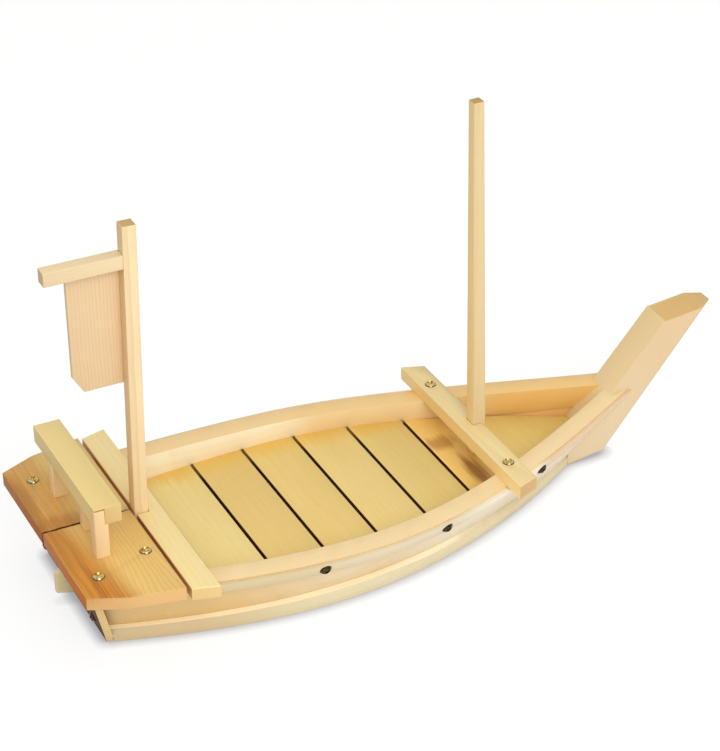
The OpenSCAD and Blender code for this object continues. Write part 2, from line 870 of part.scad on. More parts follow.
bottom_board();
transom();
rudder_board();
stem_post();
bow_block();
lower_plank_starboard();
lower_plank_port();
upper_plank_starboard();
upper_plank_port();
rail_starboard();
rail_port();
floor_stringer_starboard();
floor_stringer_port();
floor_slat(1);  // floor_slat_1
floor_slat(2);  // floor_slat_2
floor_slat(3);  // floor_slat_3
floor_slat(4);  // floor_slat_4
floor_slat(5);  // floor_slat_5
floor_slat(6);  // floor_slat_6
floor_slat(7);  // floor_slat_7
bow_floor();
stern_deck_starboard();
stern_deck_port();
deck_cleat();
stern_beam();
mast_thwart();
mast_step();
flag_step_block();
mast();
flag_post();
flag_crossbar();
flag_board();
bench_beam();
bench_leg_starboard();
bench_leg_middle();
bench_leg_port();
deck_screws();
thwart_screws();
side_screws_starboard();
side_screws_port();
transom_screws();
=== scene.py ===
# %% [markdown]
# # A wooden sushi boat
# The boat is a serving platter of pale pine boards, glued and screwed together like a small flat-bottomed
# boat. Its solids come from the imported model, which this lesson loads first and never moves. Everything below
# gives those solids the look of the real thing: eased edges, wood grain, metal screw heads and studio light.

# %% Load the solids
import json
import math

import bmesh
import bpy
import numpy as np
from mathutils import Matrix, Vector


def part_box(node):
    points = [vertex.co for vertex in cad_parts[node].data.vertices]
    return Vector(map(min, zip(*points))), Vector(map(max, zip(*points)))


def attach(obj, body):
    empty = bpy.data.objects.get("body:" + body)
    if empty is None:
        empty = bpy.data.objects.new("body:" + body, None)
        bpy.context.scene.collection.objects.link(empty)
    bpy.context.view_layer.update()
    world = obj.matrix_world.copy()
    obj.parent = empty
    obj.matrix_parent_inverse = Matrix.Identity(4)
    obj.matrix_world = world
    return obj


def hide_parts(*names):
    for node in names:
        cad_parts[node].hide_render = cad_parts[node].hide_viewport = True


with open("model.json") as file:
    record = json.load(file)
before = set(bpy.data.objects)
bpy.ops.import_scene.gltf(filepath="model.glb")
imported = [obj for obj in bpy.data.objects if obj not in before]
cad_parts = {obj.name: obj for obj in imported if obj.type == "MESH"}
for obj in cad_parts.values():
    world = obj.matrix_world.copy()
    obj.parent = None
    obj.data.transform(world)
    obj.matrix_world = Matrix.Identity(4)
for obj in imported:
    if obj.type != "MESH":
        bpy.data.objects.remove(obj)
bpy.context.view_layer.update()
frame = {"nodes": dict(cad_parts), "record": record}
record = frame["record"]
body_of = {node: body for body, nodes in record["behaviour"]["bodies"].items() for node in nodes}
slot_of = {part["node"]: part["material_slot"] for part in record["subparts"]}

# %% [markdown]
# ## The camera
# The picture was taken from the boat's starboard quarter, well above the rails, with a long lens. The camera
# could be aimed with a Track To constraint, but a small roll was measured too, so its three axes are built
# from the angles and put straight into its matrix.

# %% Camera
VIEW_TURN = math.radians(26.27)
VIEW_DIP = math.radians(31.42)
VIEW_ROLL = math.radians(-0.40)
CAMERA_PLACE = Vector((-0.7326, -1.4277, 1.1062))
LENS_MM = 117.37
FRAME_WIDTH_MM = 36.0


def photo_camera():
    """A camera at the photograph's place and angle."""
    forward = Vector((math.sin(VIEW_TURN) * math.cos(VIEW_DIP),
                      math.cos(VIEW_TURN) * math.cos(VIEW_DIP),
                      -math.sin(VIEW_DIP)))
    level_right = Vector((math.cos(VIEW_TURN), -math.sin(VIEW_TURN), 0.0))
    level_up = level_right.cross(forward)
    right = level_right * math.cos(VIEW_ROLL) + level_up * math.sin(VIEW_ROLL)
    up = level_up * math.cos(VIEW_ROLL) - level_right * math.sin(VIEW_ROLL)
    camera = bpy.data.objects.new("photo_camera", bpy.data.cameras.new("photo_camera"))
    camera.data.sensor_fit = "HORIZONTAL"
    camera.data.sensor_width = FRAME_WIDTH_MM
    camera.data.lens = LENS_MM
    turn = Matrix((right, up, -forward)).transposed()
    camera.matrix_world = Matrix.Translation(CAMERA_PLACE) @ turn.to_4x4()
    bpy.context.scene.collection.objects.link(camera)
    bpy.context.scene.camera = camera
    return camera


print("camera at", [round(v, 3) for v in photo_camera().location])

# %% [markdown]
# ## Sums of sockets
# Wood grain is a sum of several patterns, and a sum is easier to read as Python than as a list of nodes. This
# class wraps one output socket: plus, minus, times and divide on it add Math nodes, or Vector Math nodes
# where the socket is a vector. Every other kind of node comes from its one method, node().


# %% Socket class
class Sock:
    """An output socket of a node tree, which can be added, subtracted, multiplied and divided."""

    def __init__(self, tree, socket=None):
        self.tree = tree
        self.socket = socket

    def node(self, kind, settings=None, inputs=None, out=0):
        """A new node of that kind: its settings first, then the values or links of its inputs."""
        made = self.tree.nodes.new(kind)
        for name, value in (settings or {}).items():
            if name == "stops":
                ramp = made.color_ramp
                while len(ramp.elements) < len(value):
                    ramp.elements.new(1.0)
                for element, (place, level) in zip(ramp.elements, value):
                    element.position = place
                    element.color = (level, level, level, 1.0)
            else:
                setattr(made, name, value)
        for name, value in (inputs or {}).items():
            if isinstance(value, Sock):
                self.tree.links.new(value.socket, made.inputs[name])
            else:
                made.inputs[name].default_value = value
        return Sock(self.tree, made.outputs[out])

    def combine(self, operation, first, second=0.0):
        vectors = any(isinstance(v, tuple) or (isinstance(v, Sock) and v.socket.type == "VECTOR")
                      for v in (first, second))
        kind = "ShaderNodeVectorMath" if vectors else "ShaderNodeMath"
        return self.node(kind, {"operation": operation}, {0: first, 1: second})

    def __add__(self, other):
        return self.combine("ADD", self, other)

    def __radd__(self, other):
        return self.combine("ADD", other, self)

    def __sub__(self, other):
        return self.combine("SUBTRACT", self, other)

    def __rsub__(self, other):
        return self.combine("SUBTRACT", other, self)

    def __mul__(self, other):
        return self.combine("MULTIPLY", self, other)

    def __rmul__(self, other):
        return self.combine("MULTIPLY", other, self)

    def __truediv__(self, other):
        return self.combine("DIVIDE", self, other)

    def math(self, operation, other=0.0):
        return self.combine(operation, self, other)

    def dot(self, vector):
        return self.node("ShaderNodeVectorMath", {"operation": "DOT_PRODUCT"}, {0: self, 1: vector}, "Value")

    def length(self):
        return self.node("ShaderNodeVectorMath", {"operation": "LENGTH"}, {0: self}, "Value")

    def step(self, low, high):
        """0 below low, 1 above high, and a smooth rise between them. Where low is the larger, it falls."""
        return self.node("ShaderNodeMapRange", {"interpolation_type": "SMOOTHSTEP"},
                         {"Value": self, "From Min": low, "From Max": high})

    def mix(self, first, second):
        """A colour between two colours; this socket is the share of the second."""
        return self.node("ShaderNodeMix", {"data_type": "RGBA", "clamp_factor": True},
                         {0: self, 6: first, 7: second}, 2)


def paint(red, green, blue):
    """A colour from its screen values, 0 to 255, as Blender's linear colour."""
    linear = [c / 12.92 if c <= 0.04045 else ((c + 0.055) / 1.055) ** 2.4
              for c in (red / 255, green / 255, blue / 255)]
    return (*linear, 1.0)


print("a mid grey in linear light:", round(paint(128, 128, 128)[0], 3))

# %% [markdown]
# ## Pine
# Pine is a stack of growth rings: pale spring wood that darkens slowly into a thin line of summer wood, then
# starts again. A board is a slice of those rings, so one solid pattern gives straight lines on one face and
# arches on the next. A picture of wood would need seams; here the rings are worked out in the board's own
# space, as the distance from the tree's heart, which lies outside the board. Noise drawn out along the grain
# makes the rings wander, finer noise gives the fibres, and faces cut across the grain have their own colour.

# %% Patterns of the grain
RING_STOPS = [(0.0, 0.0), (0.45, 0.12), (0.8, 0.75), (0.92, 1.0), (1.0, 0.0)]
# Length along the grain and width across it, in metres, then the noise's detail and roughness
PATTERNS = {"wander": (0.16, 0.035, 1.0, 0.5), "ripple": (0.05, 0.006, 1.0, 0.5),
            "strength": (0.30, 0.05, 1.0, 0.5), "fibre": (0.012, 0.0009, 3.0, 0.65),
            "cloud": (0.14, 0.045, 2.0, 0.5), "ragged": (0.05, 0.0035, 2.0, 0.5),
            "heart edge": (0.09, 0.03, 1.0, 0.5), "heart bands": (0.10, 0.0022, 2.0, 0.6)}
# The noise's level where a pattern starts to show, and where it shows in full
SHOWS = {"strength": (0.25, 0.75), "cloud": (0.3, 0.75), "fibre": (0.5, 0.75), "heart bands": (0.35, 0.7)}
NOISE_MIDDLE = 0.5
HEART_SPREAD = (0.7, 1.3)
X, Y, Z = Vector((1, 0, 0)), Vector((0, 1, 0)), Vector((0, 0, 1))
NEAR_Y_FROM = 0.9


def grain_frame(along):
    """The grain's own axes: along it, and two across it."""
    across = along.cross(Y if abs(along.y) < NEAR_Y_FROM else Z).normalized()
    return along, across, across.cross(along)


def noise(space, scale, detail=2.0, rough=0.5):
    return space.node("ShaderNodeTexNoise", {"noise_dimensions": "3D"},
                      {"Vector": space, "Scale": scale, "Detail": detail, "Roughness": rough}, "Fac")


def heart_of(centre, axes, draw, far):
    """Where the tree's heart lies, as two distances across the grain."""
    angle = draw.uniform(0, 2 * math.pi)
    reach = far * draw.uniform(*HEART_SPREAD)
    return (centre.dot(axes[1]) + reach * math.cos(angle),
            centre.dot(axes[2]) + reach * math.sin(angle))


print("pine rings:", len(RING_STOPS), "stops from spring wood to summer wood")

# %% [markdown]
# Two things break the even grain. Heartwood is the reddish inside of the tree, beyond a wavy edge along the
# grain. An oval with a ragged edge gives the brown figure round a knot and the darker, yellower far end of a
# slat. The same oval also paints shade: the dark seam of the deck is painted shade in the gap between its
# boards.

# %% Heartwood and stains
OVAL_SHOWS = (1.0, 0.3)
OVAL_RAGGED = 0.9


def heartwood(run, left, pattern, heart, colour):
    """The heart side of a board, with its own strong grain. Its edge may tilt away from the grain."""
    wave = pattern("heart edge") - NOISE_MIDDLE
    depth = heart["x"] + run * heart["tilt"] - left + wave * heart["wave"]
    bands = pattern("heart bands").step(*SHOWS["heart bands"])
    red = (bands * heart["band"]).mix(heart["light"], heart["deep"])
    return (depth.step(-heart["soft"], heart["soft"]) * heart["share"]).mix(colour, red)


# An oval stain, and also painted shade where an oval stands for a dark gap, as at the deck's seam.
def stain_and_shade_oval(place, pattern, stain, colour):
    spot, size, share, shade = stain
    oval = (place - spot) * tuple(1 / half for half in size)
    ragged = pattern("ragged") - NOISE_MIDDLE
    reach = oval.length() + ragged * OVAL_RAGGED
    return (reach.step(*OVAL_SHOWS) * share).mix(colour, shade)


print("a stain fades out between", OVAL_SHOWS[1], "and", OVAL_SHOWS[0], "of its size")

# %% Pine material
SHIFT_WITHIN = 3.0
FAINT_RING = 0.35
FIBRE_RISE = 0.7
RING_SINK = 0.5
GRAIN_BUMP = {"Strength": 0.25, "Distance": 0.00025}


def pine(name, finish, centre, seed):
    """A pine board's material. centre is the board's middle, and seed picks its place in the tree."""
    draw = np.random.default_rng(seed)
    material = bpy.data.materials.new(name)
    material.use_nodes = True
    tree = material.node_tree
    shader = tree.nodes["Principled BSDF"]
    axes = grain_frame(finish["along"])
    place = Sock(tree).node("ShaderNodeTexCoord", out="Object")
    facing = Sock(tree).node("ShaderNodeTexCoord", out="Normal")
    run, left, top = (place.dot(axis) for axis in axes)
    shift = float(draw.uniform(-SHIFT_WITHIN, SHIFT_WITHIN))

    def pattern(kind):
        """Noise drawn out along the grain, to the length and width of its kind."""
        length, width, detail, rough = PATTERNS[kind]
        space = run.node("ShaderNodeCombineXYZ",
                         inputs={0: run / length + shift, 1: left / width, 2: top / width})
        return noise(space, 1.0, detail, rough)

    heart_left, heart_top = heart_of(centre, axes, draw, finish["heart"])
    aside, above = left - heart_left, top - heart_top
    distance = (aside * aside + above * above).math("SQRT")
    wander = pattern("wander") - NOISE_MIDDLE
    ripple = pattern("ripple") - NOISE_MIDDLE
    rings = (distance + wander * finish["wander"] + ripple * finish["ripple"]) / finish["ring"]
    phase = rings.math("FRACT")
    summer = phase.node("ShaderNodeValToRGB", {"stops": RING_STOPS}, {"Fac": phase}, "Color")
    strong = pattern("strength").step(*SHOWS["strength"])
    streak = summer * (FAINT_RING + (1 - FAINT_RING) * strong) * finish["figure"]
    cloud = pattern("cloud").step(*SHOWS["cloud"])
    fibre = pattern("fibre")
    ground = finish["pale"]
    if finish["heartwood"]:
        ground = heartwood(run, left, pattern, finish["heartwood"], ground)
    colour = streak.mix(ground, finish["dark"])
    colour = (cloud * finish["cloud"]).mix(colour, finish["blush"])
    colour = (fibre.step(*SHOWS["fibre"]) * finish["fibre"]).mix(colour, finish["dark"])
    for shade, start, full, share in finish["fades"]:
        colour = (place.dot(X).step(start, full) * share).mix(colour, shade)
    cut = facing.dot(axes[0]).math("ABSOLUTE").step(*finish["cut_from"])
    colour = (cut * finish["end_share"]).mix(colour, finish["end"])
    # The edge colour is painted shade on the slats' sides, on the stern beam's faces and on the transom's outer
    # face. It is painted light on the bottom board's ledge. On the deck it is the darker brown of the aft edge,
    # and painted shade in the gap at the fore edge. On other boards it is their own colour.
    if finish["edge"]:
        edge_faces = facing.dot(axes[1]).math("ABSOLUTE").step(*finish["edge_from"])
        colour = (edge_faces * finish["edge_share"]).mix(colour, finish["edge"])
    # Stains, and ovals of painted shade such as the seam of the deck.
    for stain in finish["stains"]:
        colour = stain_and_shade_oval(place, pattern, stain, colour)
    shader.inputs["Roughness"].default_value = finish["rough"]
    shader.inputs["Specular IOR Level"].default_value = finish["gloss"]
    tree.links.new(colour.socket, shader.inputs["Base Color"])
    height = fibre * FIBRE_RISE - summer * RING_SINK
    bump = height.node("ShaderNodeBump", inputs={**GRAIN_BUMP, "Height": height}, out="Normal")
    tree.links.new(bump.socket, shader.inputs["Normal"])
    return material


print("patterns in the pine:", ", ".join(PATTERNS))

# %% [markdown]
# ## The looks of the boards
# The boards come from different trees, so each kind has its own colours: pale spring wood, dark summer wood,
# a blush in clouds and the cut end. The rails and planks run along the boat, the slats, deck and cross beams
# across it, the sticks and the flag stand upright, and the stem follows its own rake. Ring, heart, wander
# and ripple are in metres. A fade is a colour, the places along the boat where it starts and is full, and
# its share. Edge is the colour of one pair of faces that run with the grain, such as a slat's sides or a
# rail's top and underside. On the slats' sides it is painted shade for the dark gaps between them. On
# the bottom board's top it is painted light for its ledge, which lies in shade.

# %% Looks
STEM_RAKE = math.radians(40.7)
STEM_RUN = Vector((math.sin(STEM_RAKE), 0, math.cos(STEM_RAKE)))
PLAIN = {"ring": 0.0042, "heart": 0.07, "wander": 0.012, "ripple": 0.0012, "figure": 0.20, "cloud": 0.35,
         "fibre": 0.16, "rough": 0.5, "gloss": 0.5, "stains": [], "heartwood": None, "fades": [],
         "end_share": 0.55, "cut_from": (0.75, 0.95),
         "edge": None, "edge_share": 1.0, "edge_from": (0.75, 0.95)}


def look(along, pale, dark, blush, end, **changes):
    return {**PLAIN, "along": along, "pale": paint(*pale), "dark": paint(*dark), "blush": paint(*blush),
            "end": paint(*end), **changes}


DECK_HEART = {"x": -0.282, "tilt": -0.15, "wave": 0.010, "soft": 0.010, "share": 0.88,
              "band": 0.75, "light": paint(205, 126, 34), "deep": paint(144, 69, 10)}
looks = {
    "rail": look(X, (242, 216, 164), (224, 180, 118), (237, 205, 149), (206, 150, 92)),
    "upper_plank": look(X, (227, 212, 181), (206, 180, 140), (219, 200, 164), (206, 156, 100),
                        # Lighter towards the bow: partly paler wood, partly a painted highlight.
                        fades=[(paint(243, 234, 212), -0.01, 0.06, 0.9),
                               (paint(228, 198, 160), 0.095, 0.115, 0.9),
                               (paint(214, 195, 148), -0.05, -0.15, 0.8)]),
    "lower_plank": look(X, (231, 212, 176), (206, 170, 120), (224, 197, 152), (190, 136, 84),
                        fades=[(paint(221, 184, 119), -0.09, -0.21, 0.85),
                               (paint(237, 225, 204), -0.06, 0.02, 0.85)]),
    # The bottom board's top and underside are painted near white: painted light on the ledge, which lies in
    # shade under the leaning plank.
    "bottom": look(X, (222, 209, 172), (196, 168, 124), (212, 192, 150), (176, 124, 74),
                   fades=[(paint(202, 178, 134), -0.10, -0.22, 0.8)], edge=paint(253, 240, 206)),
    # The slats' sides are painted dark brown: painted shade for the dark gaps between the slats.
    "slat": look(Y, (234, 204, 133), (209, 167, 92), (224, 192, 115), (196, 142, 80),
                 figure=0.14, cloud=0.5, edge=paint(84, 48, 18)),
    "bow_floor": look(Y, (230, 201, 117), (202, 160, 75), (214, 184, 93), (180, 120, 60)),
    # The deck's edge colour is the darker brown of its aft edge. On its fore edge it is painted shade in the
    # gap before the stern beam.
    "deck": look(Y, (235, 198, 120), (170, 104, 38), (226, 180, 94), (224, 180, 121),
                 figure=0.22, cloud=0.22, wander=0.022, ripple=0.0022, ring=0.0034, gloss=0.15,
                 end_share=0.92, heartwood=DECK_HEART, edge=paint(192, 108, 30)),
    "cross_beam": look(Y, (240, 218, 157), (216, 178, 108), (234, 206, 138), (214, 168, 100)),
    "stem": look(STEM_RUN, (222, 196, 154), (204, 165, 115), (218, 185, 140), (215, 166, 74),
                 figure=0.14, end_share=0.65, cut_from=(0.35, 0.6), edge=paint(234, 206, 150),
                 edge_share=0.8, fades=[(paint(222, 201, 164), 0.25, 0.20, 0.8)]),
    "bench_beam": look(Y, (233, 208, 139), (209, 173, 101), (225, 196, 125), (214, 184, 126)),
    "bench_leg": look(Z, (244, 215, 165), (223, 176, 116), (237, 200, 145), (206, 150, 92)),
    "stick": look(Z, (244, 220, 174), (220, 180, 121), (236, 206, 154), (190, 150, 72), end_share=0.85),
    "flag": look(Z, (235, 207, 165), (213, 168, 118), (229, 196, 149), (206, 150, 96),
                 ring=0.0028, heart=0.25, wander=0.005, ripple=0.0020, figure=0.5),
    "inner": look(X, (226, 192, 136), (196, 150, 92), (214, 176, 118), (170, 118, 68)),
}
print("kinds of board:", ", ".join(looks))

# %% [markdown]
# No two boards are quite alike, so some of them get a tint of their own: a factor on the red, green and blue
# of their kind. The far rail and plank turn orange towards the bow. The transom's outer face is painted dark
# brown, as painted shade. The rudder board is lightened, as painted light against the shade under the deck
# and from the grey table behind the stern. Most slats are darker and yellower at their far ends. The last one
# before the mast carries the brown figure of a knot. The seam of the deck is painted dark, as painted shade in
# the gap between its boards. A stain, or an oval of painted shade, is its middle, its half sizes, its share
# and its colour.

# %% Stains
DECK_TOP = 0.0675
SLAT_TOP = 0.031
# Painted shade: a dark line along the deck's seam stands for the shade in the gap between its two boards.
SEAM_PAINTED_SHADE = ((-0.265, 0.0, DECK_TOP), (0.08, 0.0019, 0.05), 0.95, paint(66, 34, 12))
PORT_DECK_STAINS_AND_SHADE = [((-0.300, 0.045, DECK_TOP), (0.016, 0.080, 0.03), 0.55, paint(150, 84, 24)),
                    ((-0.284, 0.006, DECK_TOP), (0.030, 0.018, 0.03), 0.40, paint(158, 84, 22)),
                    SEAM_PAINTED_SHADE]
KNOT_STAINS = [((0.058, 0.023, SLAT_TOP), (0.018, 0.015, 0.02), 0.6, paint(164, 94, 28)),
               ((0.065, -0.028, SLAT_TOP), (0.010, 0.036, 0.02), 0.8, paint(132, 68, 20))]
# The slats' far ends, next to the far rail, are darker and yellower.
FAR_END_SIZE = (0.05, 0.030, 0.02)
FAR_END_SHARE = 0.8
FAR_END_YELLOW = paint(232, 188, 86)


def far_end_yellow(node):
    """The darker, yellower far end of a slat, next to the far rail."""
    low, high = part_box(node)
    return ((low.x + high.x) / 2, high.y, high.z), FAR_END_SIZE, FAR_END_SHARE, FAR_END_YELLOW


print("stains on the port deck board:", len(PORT_DECK_STAINS_AND_SHADE), "and round the knot:", len(KNOT_STAINS))

# %% Boards with a look of their own
SLAT_TINTS = {"floor_slat_2": (1.06, 1.14, 1.14), "floor_slat_3": (0.97, 0.95, 0.81),
              "floor_slat_4": (1.00, 1.00, 0.88), "floor_slat_5": (1.02, 1.04, 0.98),
              "floor_slat_6": (0.97, 1.00, 0.90)}


def tinted(kind, red, green, blue, **changes):
    """A kind of board in another tint."""
    shades = {key: tuple(min(1.0, c * f) for c, f in zip(looks[kind][key], (red, green, blue, 1.0)))
              for key in ("pale", "dark", "blush", "end")}
    return {**looks[kind], **shades, **changes}


own_looks = {node: tinted("slat", *tint, stains=[far_end_yellow(node)]) for node, tint in SLAT_TINTS.items()}
own_looks.update({
    "floor_slat_7": tinted("slat", 1.12, 1.02, 0.74, stains=KNOT_STAINS, figure=0.3),
    "stern_deck_starboard": {**looks["deck"], "stains": [SEAM_PAINTED_SHADE]},
    "stern_deck_port": tinted("deck", 0.98, 1.06, 1.15, stains=PORT_DECK_STAINS_AND_SHADE,
                              heartwood={**DECK_HEART, "x": -0.270, "tilt": 0.0, "share": 0.50}),
    "mast": tinted("stick", 0.82, 0.81, 0.75, edge=paint(245, 214, 147), edge_share=0.85),
    "flag_post": tinted("stick", 0.98, 0.98, 1.0, edge=paint(226, 194, 142), edge_share=0.75,
                        ring=0.0024, heart=0.2, wander=0.003, figure=0.45),
    "flag_crossbar": tinted("stick", 0.91, 0.92, 0.96, along=X, end_share=0.4),
    "mast_thwart": tinted("cross_beam", 0.98, 0.96, 0.94, end=paint(196, 152, 100), end_share=0.8,
                          edge=paint(252, 216, 142), edge_share=0.8),
    "rail_port": tinted("rail", 1.08, 1.28, 1.75, edge=paint(236, 198, 130), edge_share=0.85,
                        fades=[(paint(235, 204, 146), -0.065, -0.02, 0.85),
                               (paint(230, 180, 92), 0.08, 0.13, 0.8)]),
    "lower_plank_port": tinted("lower_plank", 1.1, 1.14, 1.1,
                               fades=[(paint(218, 163, 68), 0.06, 0.12, 0.9)]),
    # The stern beam's fore and aft faces are painted darker: painted shade for the gap between the deck and the
    # beam.
    "stern_beam": tinted("cross_beam", 1.03, 1.05, 1.06, edge=paint(204, 140, 78), edge_share=0.8),
    # The transom's fore and aft faces are painted dark brown: painted shade on its outer face.
    "transom": tinted("bottom", 0.9, 0.88, 0.8, along=Y, end=paint(226, 196, 140), end_share=0.9,
                      edge=paint(84, 50, 22), edge_share=0.95, edge_from=(0.4, 0.6), gloss=0.03),
    # Lightened to near white: painted light against the shade under the deck and from the grey table behind the
    # stern.
    "rudder_board": tinted("bottom", 1.37, 1.36, 1.18, fades=[]),
})
print("boards of their own look:", len(own_looks))

# %% [markdown]
# ## Eased edges
# Sandpaper takes the sharpness off every board, and the thin bright line on such an edge is what makes wood
# look solid. The Bevel modifier does this on a copy of the board: the copy's loose triangles are joined
# first, flat stretches are melted together so that only real edges are left, and hardened normals keep the
# flats flat. The copy then stands for the solid, on the same body.

# %% Boards with eased edges
JOIN_WITHIN = 5e-6
FLAT_WITHIN = math.radians(0.3)
SHARP_FROM = math.radians(32)
EASE = {"stern_beam": 0.0012, "mast_thwart": 0.0012, "bench_beam": 0.0004, "stem_post": 0.0010,
        "flag_board": 0.0005, "mast": 0.0005, "flag_post": 0.0005}
EASE_ELSEWHERE = 0.0006
EASE_STEPS = 2


def plain_mesh(thing, name):
    """The thing's shape with its modifiers worked in, as a new plain mesh."""
    bpy.context.view_layer.update()
    shaped = thing.evaluated_get(bpy.context.evaluated_depsgraph_get())
    mesh = bpy.data.meshes.new_from_object(shaped)
    mesh.name = name
    return mesh


def joined_copy(node):
    mesh = frame["nodes"][node].data.copy()
    work = bmesh.new()
    work.from_mesh(mesh)
    bmesh.ops.remove_doubles(work, verts=work.verts, dist=JOIN_WITHIN)
    bmesh.ops.dissolve_limit(work, angle_limit=FLAT_WITHIN, verts=work.verts, edges=work.edges)
    work.to_mesh(mesh)
    work.free()
    mesh.shade_smooth()
    return mesh


def eased_board(node):
    """A copy of a board with its sharp edges rounded over, which stands for the board."""
    board = bpy.data.objects.new("eased_" + node, joined_copy(node))
    bpy.context.scene.collection.objects.link(board)
    bevel = board.modifiers.new("eased edges", "BEVEL")
    bevel.width = EASE.get(node, EASE_ELSEWHERE)
    bevel.segments = EASE_STEPS
    bevel.limit_method = "ANGLE"
    bevel.angle_limit = SHARP_FROM
    bevel.harden_normals = True
    rounded = plain_mesh(board, "eased_" + node)
    board.modifiers.clear()
    board.data = rounded
    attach(board, body_of[node])
    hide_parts(node)
    return board


wooden = [node for node in frame["nodes"] if slot_of[node] != "screw"]
boards = {}
for number, node in enumerate(sorted(wooden)):
    low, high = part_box(node)
    boards[node] = eased_board(node)
    finish = own_looks.get(node, looks[slot_of[node]])
    boards[node].data.materials.clear()
    boards[node].data.materials.append(pine("pine_" + node, finish, (low + high) / 2, number))
print("boards:", len(boards), "with", sum(len(b.data.polygons) for b in boards.values()), "faces")

# %% [markdown]
# ## Screw heads
# The boards are held by pan-head screws with a cross recess. The solids already say where each screw sits
# and which way it faces: the flat ring under its head is its largest flat place. Those places become points,
# and one Geometry Nodes tree shapes a head, cuts its cross and sets a copy on every point, each turned its
# own way, as a screwdriver leaves them. The seed of the turns is fixed, but the order of the points isn't,
# so which head gets which turn can change from run to run. The metal goes on the plain mesh afterwards.

# %% Where the screws sit
FLAT_DIGITS = 3
LEVEL_DIGITS = 4


def islands(work):
    """The separate pieces of a joined mesh, as lists of faces, in no fixed order."""
    waiting = set(work.faces)
    while waiting:
        front = [waiting.pop()]
        piece = []
        while front:
            face = front.pop()
            piece.append(face)
            near = {other for edge in face.edges for other in edge.link_faces} & waiting
            waiting -= near
            front.extend(near)
        yield piece


def screw_places(node):
    """The middle of each head's underside and the way the head faces."""
    work = bmesh.new()
    work.from_mesh(frame["nodes"][node].data)
    bmesh.ops.remove_doubles(work, verts=work.verts, dist=JOIN_WITHIN)
    work.normal_update()
    places = []
    for piece in islands(work):
        flats = {}
        for face in piece:
            level = round(face.normal.dot(face.calc_center_median()), LEVEL_DIGITS)
            key = (*(round(v, FLAT_DIGITS) for v in face.normal), level)
            flats.setdefault(key, []).append(face)
        ring = max(flats.values(), key=lambda faces: sum(f.calc_area() for f in faces))
        area = sum(f.calc_area() for f in ring)
        middle = sum((f.calc_center_median() * f.calc_area() for f in ring), Vector()) / area
        places.append((middle, -ring[0].normal.copy()))
    work.free()
    return places


screws = {node: screw_places(node) for node in sorted(frame["nodes"]) if slot_of[node] == "screw"}
print("screws:", {node: len(places) for node, places in screws.items()})

# %% Screw head tree
HEAD = {"Head Diameter": 0.0098, "Head Height": 0.0028, "Recess Span": 0.0054, "Recess Width": 0.0015,
        "Recess Depth": 0.0016}
BALL_FACES = {"Segments": 40, "Rings": 96}
TURN_SEED = 7


def screw_tree():
    """A tree that sets a domed head with a cross recess on each point, along its facing."""
    tree = bpy.data.node_groups.new("screw_heads", "GeometryNodeTree")
    tree.interface.new_socket("Geometry", in_out="INPUT", socket_type="NodeSocketGeometry")
    for name in HEAD:
        tree.interface.new_socket(name, in_out="INPUT", socket_type="NodeSocketFloat")
    tree.interface.new_socket("Geometry", in_out="OUTPUT", socket_type="NodeSocketGeometry")
    start = Sock(tree)
    given = start.node("NodeGroupInput").socket.node
    size = {name: Sock(tree, given.outputs[name]) for name in HEAD}
    half = size["Head Diameter"] / 2
    tall = size["Head Height"]
    ball = (half * half + tall * tall) / (tall * 2)

    def vector(x=0.0, y=0.0, z=0.0):
        return start.node("ShaderNodeCombineXYZ", inputs={0: x, 1: y, 2: z})

    def moved(shape, offset):
        return start.node("GeometryNodeTransform", inputs={"Geometry": shape, "Translation": offset})

    def block(x, y, z):
        return start.node("GeometryNodeMeshCube", inputs={"Size": vector(x, y, z)})

    def merged(operation, first, second):
        """What two shapes have in common, or both of them together."""
        made = start.node("GeometryNodeMeshBoolean", {"operation": operation, "solver": "EXACT"},
                          {"Mesh 2": first})
        tree.links.new(second.socket, made.socket.node.inputs["Mesh 2"])
        return made

    sphere = start.node("GeometryNodeMeshUVSphere", inputs={**BALL_FACES, "Radius": ball})
    above = moved(block(ball * 4, ball * 4, ball * 4), vector(z=ball * 2))
    dome = merged("INTERSECT", moved(sphere, vector(z=tall - ball)), above)
    deep = size["Recess Depth"] * 2
    cross = merged("UNION", block(size["Recess Span"], size["Recess Width"], deep),
                   block(size["Recess Width"], size["Recess Span"], deep))
    head = start.node("GeometryNodeMeshBoolean", {"operation": "DIFFERENCE", "solver": "EXACT"},
                      {"Mesh 1": dome, "Mesh 2": moved(cross, vector(z=tall))})
    out_from_axis = (start.node("GeometryNodeInputPosition") * (1.0, 1.0, 0.0)).length() / half
    marked = start.node("GeometryNodeStoreNamedAttribute", {"data_type": "FLOAT", "domain": "POINT"},
                        {"Geometry": head, "Name": "rim", "Value": out_from_axis})
    facing = start.node("GeometryNodeInputNamedAttribute", {"data_type": "FLOAT_VECTOR"}, {"Name": "facing"})
    upright = start.node("FunctionNodeAlignRotationToVector", {"axis": "Z"}, {"Vector": facing})
    spin = start.node("FunctionNodeRandomValue", {"data_type": "FLOAT"},
                      {2: 0.0, 3: 2 * math.pi, "Seed": TURN_SEED}, 1)
    turn = start.node("FunctionNodeAxisAngleToRotation", inputs={"Axis": (0.0, 0.0, 1.0), "Angle": spin})
    turned = start.node("FunctionNodeRotateRotation", {"rotation_space": "LOCAL"},
                        {"Rotation": upright, "Rotate By": turn})
    set_out = start.node("GeometryNodeInstanceOnPoints",
                         inputs={"Points": Sock(tree, given.outputs["Geometry"]), "Instance": marked,
                                 "Rotation": turned})
    real = start.node("GeometryNodeRealizeInstances", inputs={"Geometry": set_out})
    smooth = start.node("GeometryNodeSetShadeSmooth", {"domain": "FACE"}, {0: real, "Shade Smooth": True})
    tree.links.new(smooth.socket, tree.nodes.new("NodeGroupOutput").inputs[0])
    return tree


